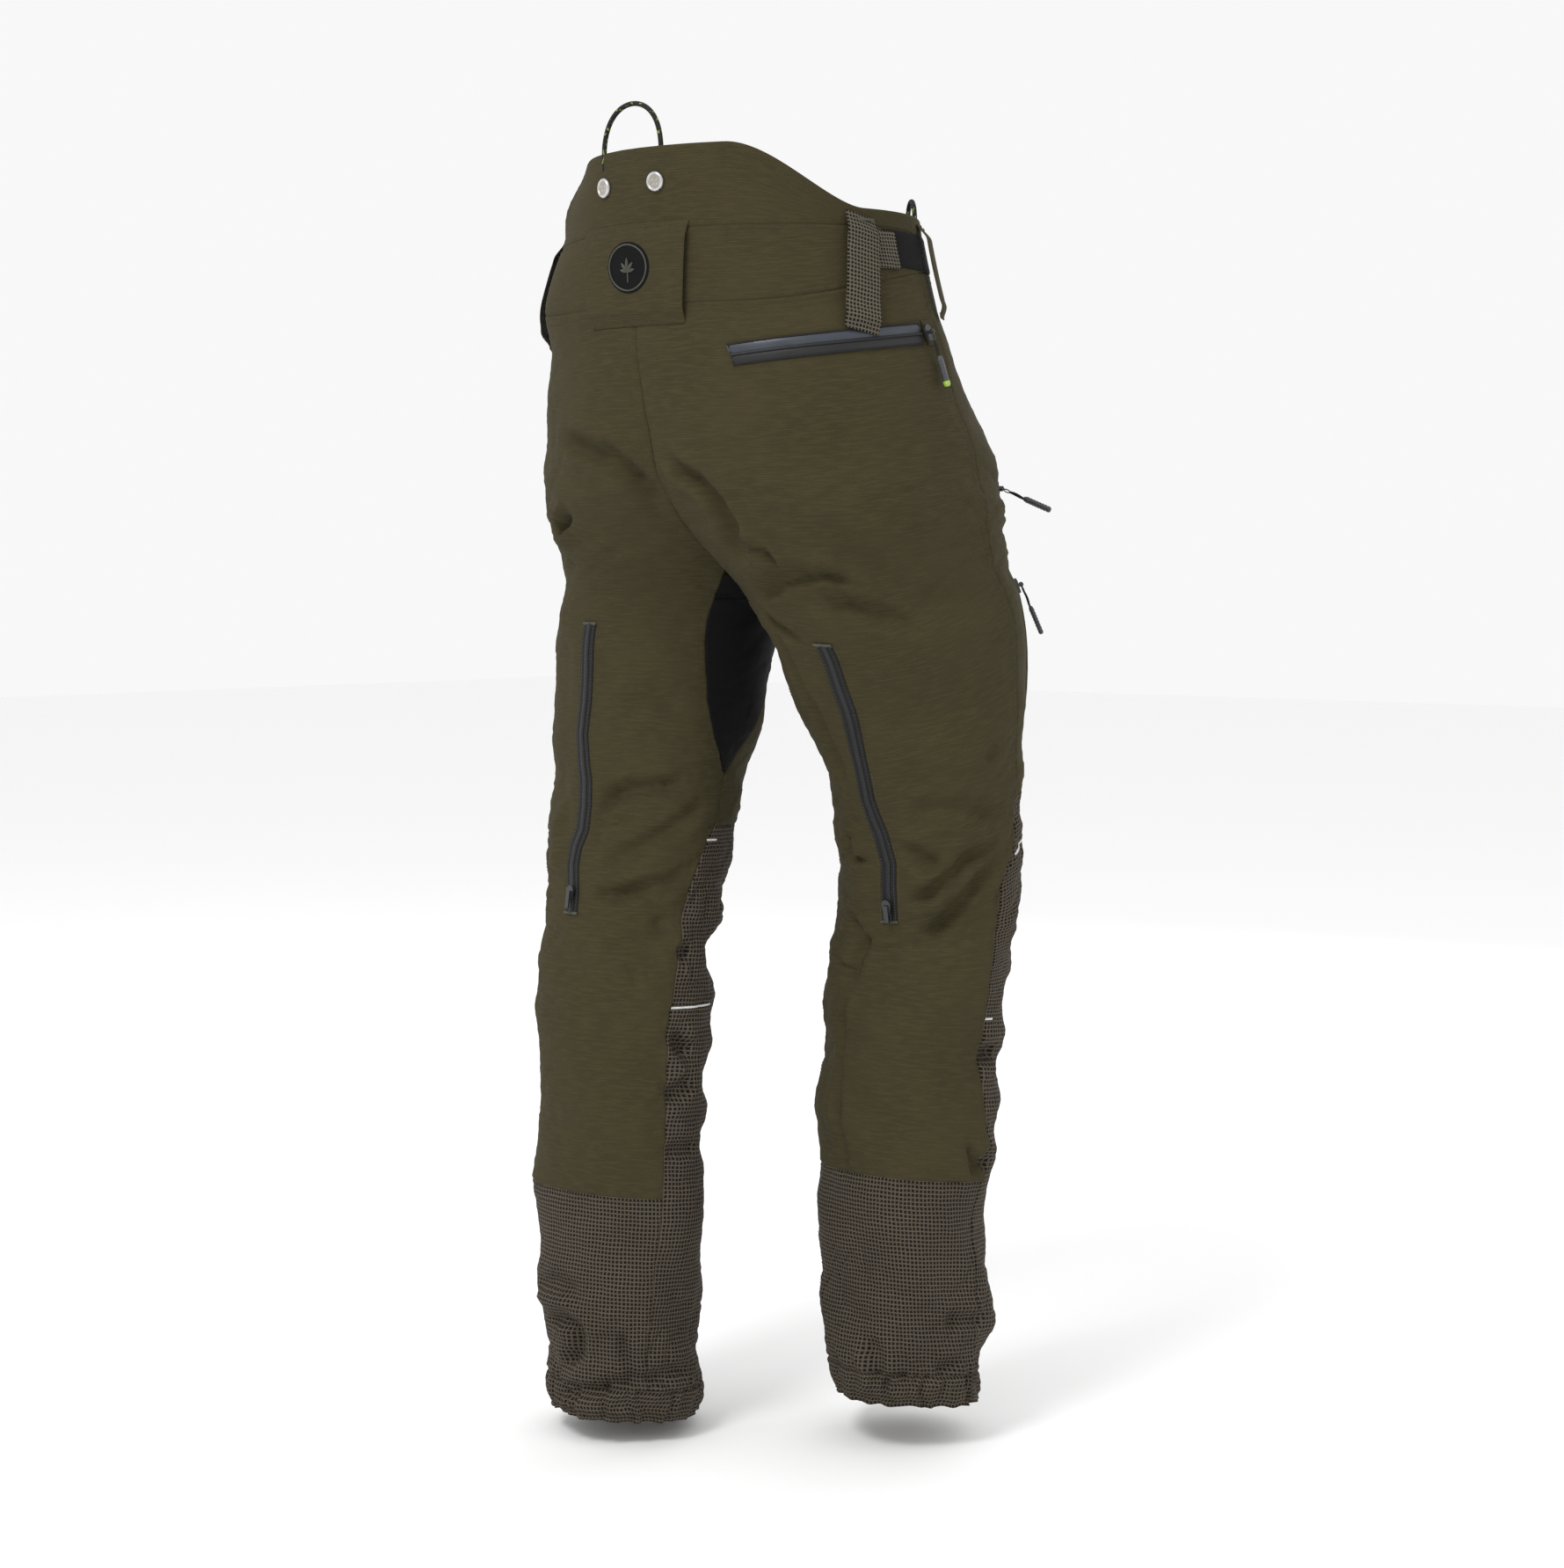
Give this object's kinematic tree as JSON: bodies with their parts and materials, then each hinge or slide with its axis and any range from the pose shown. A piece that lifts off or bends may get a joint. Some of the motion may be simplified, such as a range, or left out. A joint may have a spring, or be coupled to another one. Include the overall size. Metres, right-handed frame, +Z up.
{
  "type": "chainsaw protective trousers",
  "caption": "Chainsaw trousers with high back, stretch gussets, rear thigh vent zips, checked knee and ankle panels and cut-protection pads, posed walking.",
  "frame": {"origin": "centre of the waist opening at the height of the belt line", "axes": "+Z up along the wearer's body, -Y the way the wearer faces, +X towards the wearer's left"},
  "size_m": [0.4558, 0.3442, 1.1716],
  "materials": {
    "olive_fabric": "fine horizontal ribbing, matte, with tone-on-tone stitching",
    "checked_fabric": "woven reinforcement with a small pale grid on a near-black ground",
    "belt_loop_fabric": "checked and olive woven straps",
    "black_stretch_fabric": "matte stretch knit",
    "guard_felt": "layered cut-protection felt",
    "zip_tape": "matte woven tape with a moulded coil",
    "pocket_zip_tape": "coated water-repellent tape, satin",
    "zip_metal": "black enamel",
    "puller_grip": "moulded grip on a thin cord",
    "hanging_cord": "braided cord with small lime flecks",
    "hook_fabric": "hook-and-loop pile",
    "button_metal": "domed rim, satin",
    "lining_fabric": "thin woven lining"
  },
  "bodies": {
    "upper": {"high_back_panel": "olive_fabric", "waistband_back": "olive_fabric", "waistband_front": "olive_fabric", "seat_panels": "olive_fabric", "hip_front_panels": "olive_fabric", "rear_belt_tunnel": "olive_fabric", "belt_loops": "belt_loop_fabric", "hook_pads": "hook_fabric", "brace_buttons": "button_metal", "pocket_zip_tapes": "pocket_zip_tape", "pocket_bags": "lining_fabric", "fly_zip_tape": "zip_tape", "waist_snap": "button_metal", "rear_cord_loop": "hanging_cord", "front_cord_loop_left": "hanging_cord", "front_cord_loop_right": "hanging_cord", "hip_fold_left": "olive_fabric", "hip_fold_right": "olive_fabric"},
    "left_thigh": {"front_thigh_panel_left": "olive_fabric", "back_thigh_panel_left": "olive_fabric", "gusset_left": "black_stretch_fabric", "knee_cap_panel_left": "checked_fabric", "thigh_guard_pad_left": "guard_felt", "vent_tape_left": "zip_tape", "thigh_zip_tape_left": "zip_tape", "knee_fold_left": "olive_fabric"},
    "left_shin": {"shin_panel_left": "checked_fabric", "calf_panel_left": "olive_fabric", "ankle_panel_left": "checked_fabric", "cuff_left": "checked_fabric", "shin_guard_pad_left": "guard_felt"},
    "right_thigh": {"front_thigh_panel_right": "olive_fabric", "back_thigh_panel_right": "olive_fabric", "gusset_right": "black_stretch_fabric", "knee_cap_panel_right": "checked_fabric", "thigh_guard_pad_right": "guard_felt", "vent_tape_right": "zip_tape", "thigh_zip_tape_right": "zip_tape", "knee_fold_right": "olive_fabric"},
    "right_shin": {"shin_panel_right": "checked_fabric", "calf_panel_right": "olive_fabric", "ankle_panel_right": "checked_fabric", "cuff_right": "checked_fabric", "shin_guard_pad_right": "guard_felt"},
    "fly_slider": {"fly_zip_slider": "button_metal"},
    "left_adjuster": {"adjuster_tab_left": "checked_fabric"},
    "right_adjuster": {"adjuster_tab_right": "checked_fabric"},
    "rear_slider": {"rear_zip_slider": "zip_metal"},
    "rear_puller": {"rear_zip_puller": "puller_grip"},
    "left_hand_slider": {"hand_zip_slider_left": "zip_metal"},
    "left_hand_puller": {"hand_zip_puller_left": "puller_grip"},
    "left_thigh_slider": {"thigh_zip_slider_left": "zip_metal"},
    "left_thigh_puller": {"thigh_zip_puller_left": "puller_grip"},
    "left_vent_slider": {"vent_slider_left": "zip_metal"},
    "right_hand_slider": {"hand_zip_slider_right": "zip_metal"},
    "right_hand_puller": {"hand_zip_puller_right": "puller_grip"},
    "right_thigh_slider": {"thigh_zip_slider_right": "zip_metal"},
    "right_thigh_puller": {"thigh_zip_puller_right": "puller_grip"},
    "right_vent_slider": {"vent_slider_right": "zip_metal"}
  },
  "joints": [
    {"name": "left_hip", "type": "hinge", "parent": "upper", "child": "left_thigh", "pos_m": [0, -0.035, -0.215], "axis": [-1, 0, 0], "range_deg": [-6, 26], "deforming": ["hip_fold_left"]},
    {"name": "left_knee", "type": "hinge", "parent": "left_thigh", "child": "left_shin", "pos_m": [0, 0.03177, -0.59889], "axis": [1, 0, 0], "range_deg": [0, 60], "deforming": ["knee_fold_left"]},
    {"name": "right_hip", "type": "hinge", "parent": "upper", "child": "right_thigh", "pos_m": [0, -0.035, -0.215], "axis": [-1, 0, 0], "range_deg": [-28, 14], "deforming": ["hip_fold_right"]},
    {"name": "right_knee", "type": "hinge", "parent": "right_thigh", "child": "right_shin", "pos_m": [0, -0.12054, -0.57998], "axis": [1, 0, 0], "range_deg": [-22, 40], "deforming": ["knee_fold_right"]},
    {"name": "fly_slide", "type": "slide", "parent": "upper", "child": "fly_slider", "axis": [0, -0.2456, -0.9694], "range_m": [0, 0.125]},
    {"name": "left_adjuster_turn", "type": "hinge", "parent": "upper", "child": "left_adjuster", "pos_m": [0.0824, 0.0041, 0], "axis": [0, 0, -1], "range_deg": [0, 12]},
    {"name": "right_adjuster_turn", "type": "hinge", "parent": "upper", "child": "right_adjuster", "pos_m": [-0.0824, 0.0041, 0], "axis": [0, 0, 1], "range_deg": [0, 12]},
    {"name": "rear_zip", "type": "hinge", "parent": "upper", "child": "rear_slider", "pos_m": [-0.06122, -0.01046, -0.06702], "axis": [-0.0562, -0.112, -0.9921], "range_deg": [0, 72.7]},
    {"name": "rear_puller_swing", "type": "hinge", "parent": "rear_slider", "child": "rear_puller", "pos_m": [-0.2039, -0.01281, -0.05787], "axis": [-0.0839, 0.9784, -0.1887], "range_deg": [0, 100]},
    {"name": "left_hand_zip", "type": "hinge", "parent": "upper", "child": "left_hand_slider", "pos_m": [0.04386, 0.04297, -0.19642], "axis": [-0.7501, -0.5586, -0.354], "range_deg": [0, 32.2]},
    {"name": "left_hand_puller_swing", "type": "hinge", "parent": "left_hand_slider", "child": "left_hand_puller", "pos_m": [0.18247, -0.1456, -0.1903], "axis": [-0.629, -0.6479, -0.4296], "range_deg": [0, 100]},
    {"name": "left_thigh_zip", "type": "hinge", "parent": "left_thigh", "child": "left_thigh_slider", "pos_m": [-0.20647, -0.00499, -0.34358], "axis": [0.251, 0.9096, 0.3311], "range_deg": [0, 17.1]},
    {"name": "left_thigh_puller_swing", "type": "hinge", "parent": "left_thigh_slider", "child": "left_thigh_puller", "pos_m": [0.19697, -0.12843, -0.31905], "axis": [-0.7091, -0.5874, -0.39], "range_deg": [0, 100]},
    {"name": "left_vent_zip", "type": "hinge", "parent": "left_thigh", "child": "left_vent_slider", "pos_m": [-0.31369, 0.58884, -0.39082], "axis": [-0.7601, -0.6456, -0.0738], "range_deg": [0, 19.7]},
    {"name": "right_hand_zip", "type": "hinge", "parent": "upper", "child": "right_hand_slider", "pos_m": [-0.0677, 0.03604, -0.18293], "axis": [-0.7831, 0.4827, 0.3922], "range_deg": [0, 34.4]},
    {"name": "right_hand_puller_swing", "type": "hinge", "parent": "right_hand_slider", "child": "right_hand_puller", "pos_m": [-0.18251, -0.14482, -0.18641], "axis": [-0.5825, 0.6138, 0.5329], "range_deg": [-50, 40]},
    {"name": "right_thigh_zip", "type": "hinge", "parent": "right_thigh", "child": "right_thigh_slider", "pos_m": [0.0218, 0.00315, -0.3465], "axis": [0.5976, -0.7985, 0.073], "range_deg": [0, 23.9]},
    {"name": "right_thigh_puller_swing", "type": "hinge", "parent": "right_thigh_slider", "child": "right_thigh_puller", "pos_m": [-0.19663, -0.1551, -0.27114], "axis": [-0.7289, 0.668, 0.1495], "range_deg": [0, 100]},
    {"name": "right_vent_zip", "type": "hinge", "parent": "right_thigh", "child": "right_vent_slider", "pos_m": [0.12758, 0.43199, -0.61835], "axis": [-0.8809, 0.4446, -0.1623], "range_deg": [0, 26]}
  ]
}
